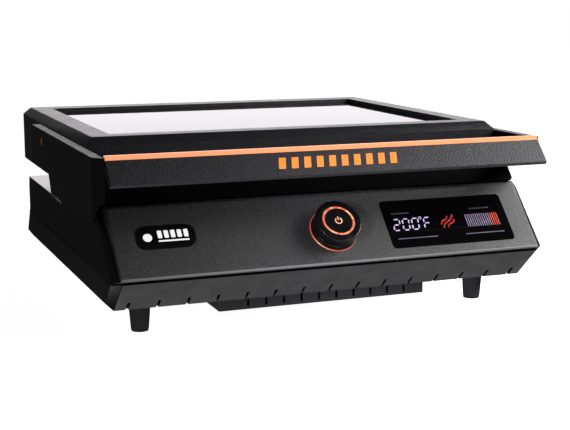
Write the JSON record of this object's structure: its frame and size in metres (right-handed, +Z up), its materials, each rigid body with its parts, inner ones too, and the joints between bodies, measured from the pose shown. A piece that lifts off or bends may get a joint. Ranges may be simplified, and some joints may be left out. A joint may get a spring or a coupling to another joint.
{
  "type": "electric griddle",
  "caption": "Table-top electric griddle with a slanted control panel, push-and-turn dial, hinged glass-topped hood with a bar handle, cast plate and a grease cup at the back.",
  "frame": {"origin": "on the table, under the middle of the griddle's outer box", "axes": "+Z up, +X to the user's right, +Y from the control panel to the back"},
  "size_m": [0.52, 0.5274, 0.2048],
  "materials": {
    "hood_coat": "black fine-grain powder coat on pressed steel",
    "handle_coat": "black fine-grain coat",
    "cover_plastic": "smooth satin black",
    "housing_plastic": "dark grey fine-grain moulding",
    "panel_plastic": "satin dark grey, very fine grain",
    "foot_plastic": "dark grey moulding",
    "gloss_black": "gloss black",
    "display_lens": "gloss smoked lens",
    "orange_trim": "orange strip",
    "mark_orange": "orange raised marks",
    "mark_white": "white raised marks",
    "mark_red": "orange-red mark",
    "light_orange": "lit orange light guide",
    "tempered_glass": "clear tempered glass",
    "silicone": "black silicone",
    "foot_rubber": "black rubber",
    "griddle_coat": "cast aluminium with dark grey non-stick coat",
    "stainless": "brushed stainless",
    "element_sheath": "annealed element sheath",
    "zinc_steel": "zinc-plated steel",
    "aluminised": "aluminised sheet",
    "cup_steel": "brushed stainless",
    "ceramic": "glazed steatite",
    "circuit_board": "green solder mask",
    "component_black": "moulded component body",
    "component_blue": "blue relay case",
    "brass": "plain brass",
    "cable_sheath": "silicone-sheathed cable"
  },
  "bodies": {
    "base": {"base_housing": "housing_plastic", "bottom_plate": "aluminised", "vent_box": "housing_plastic", "feet": "foot_plastic", "foot_pads": "foot_rubber", "foot_screws": "zinc_steel", "casing_screws": "zinc_steel", "control_fascia": "panel_plastic", "fascia_screws": "zinc_steel", "front_apron": "housing_plastic", "badge_plate": "gloss_black", "badge_inlay": "mark_white", "display_window": "display_lens", "display_module": "component_black", "control_board": "circuit_board", "rotary_encoder": "component_black", "encoder_nut": "zinc_steel", "dial_bezel": "gloss_black", "dial_light_ring": "light_orange", "power_board": "circuit_board", "board_standoffs": "brass", "power_relay": "component_blue", "power_inlet": "component_black", "inlet_pins": "brass", "wiring_harness": "cable_sheath", "griddle_plate": "griddle_coat", "heating_element": "element_sheath", "heat_reflector": "aluminised", "element_terminals": "ceramic", "temperature_probe": "stainless", "thermal_cutoff": "ceramic", "plate_supports": "stainless", "drain_spout": "stainless", "cup_cradle": "aluminised", "hinge_brackets": "stainless", "hinge_pins": "stainless", "bracket_screws": "zinc_steel"},
    "hood": {"hood_shell": "hood_coat", "hood_glass": "tempered_glass", "glass_gasket": "silicone", "glass_retainer": "stainless", "retainer_screws": "zinc_steel", "handle_bar": "handle_coat", "handle_trim": "orange_trim", "handle_inlay": "mark_orange", "side_cover_left": "cover_plastic", "side_cover_right": "cover_plastic", "side_emblems": "mark_red", "side_cover_screws": "zinc_steel", "hood_bumpers": "silicone", "hinge_arms": "stainless"},
    "dial_push": {"encoder_plunger": "component_black"},
    "dial": {"encoder_shaft": "brass", "knob_cap": "gloss_black", "knob_light_ring": "light_orange", "knob_power_icon": "light_orange"},
    "cup": {"grease_cup": "cup_steel"}
  },
  "joints": [
    {"name": "hood_lift", "type": "hinge", "parent": "base", "child": "hood", "pos_m": [0, 0.252, 0.124], "axis": [-1, 0, 0], "range_deg": [0, 95]},
    {"name": "dial_press", "type": "slide", "parent": "base", "child": "dial_push", "axis": [0, 0.7285, -0.6851], "range_m": [0, 0.0015], "stiffness_N_per_m": 2000, "springref_m": -0.0005},
    {"name": "dial_turn", "type": "hinge", "parent": "dial_push", "child": "dial", "pos_m": [0, -0.23403, 0.10437], "axis": [0, -0.7285, 0.6851], "continuous": true},
    {"name": "cup_slide", "type": "slide", "parent": "base", "child": "cup", "axis": [0, 1, 0], "range_m": [0, 0.085]}
  ]
}
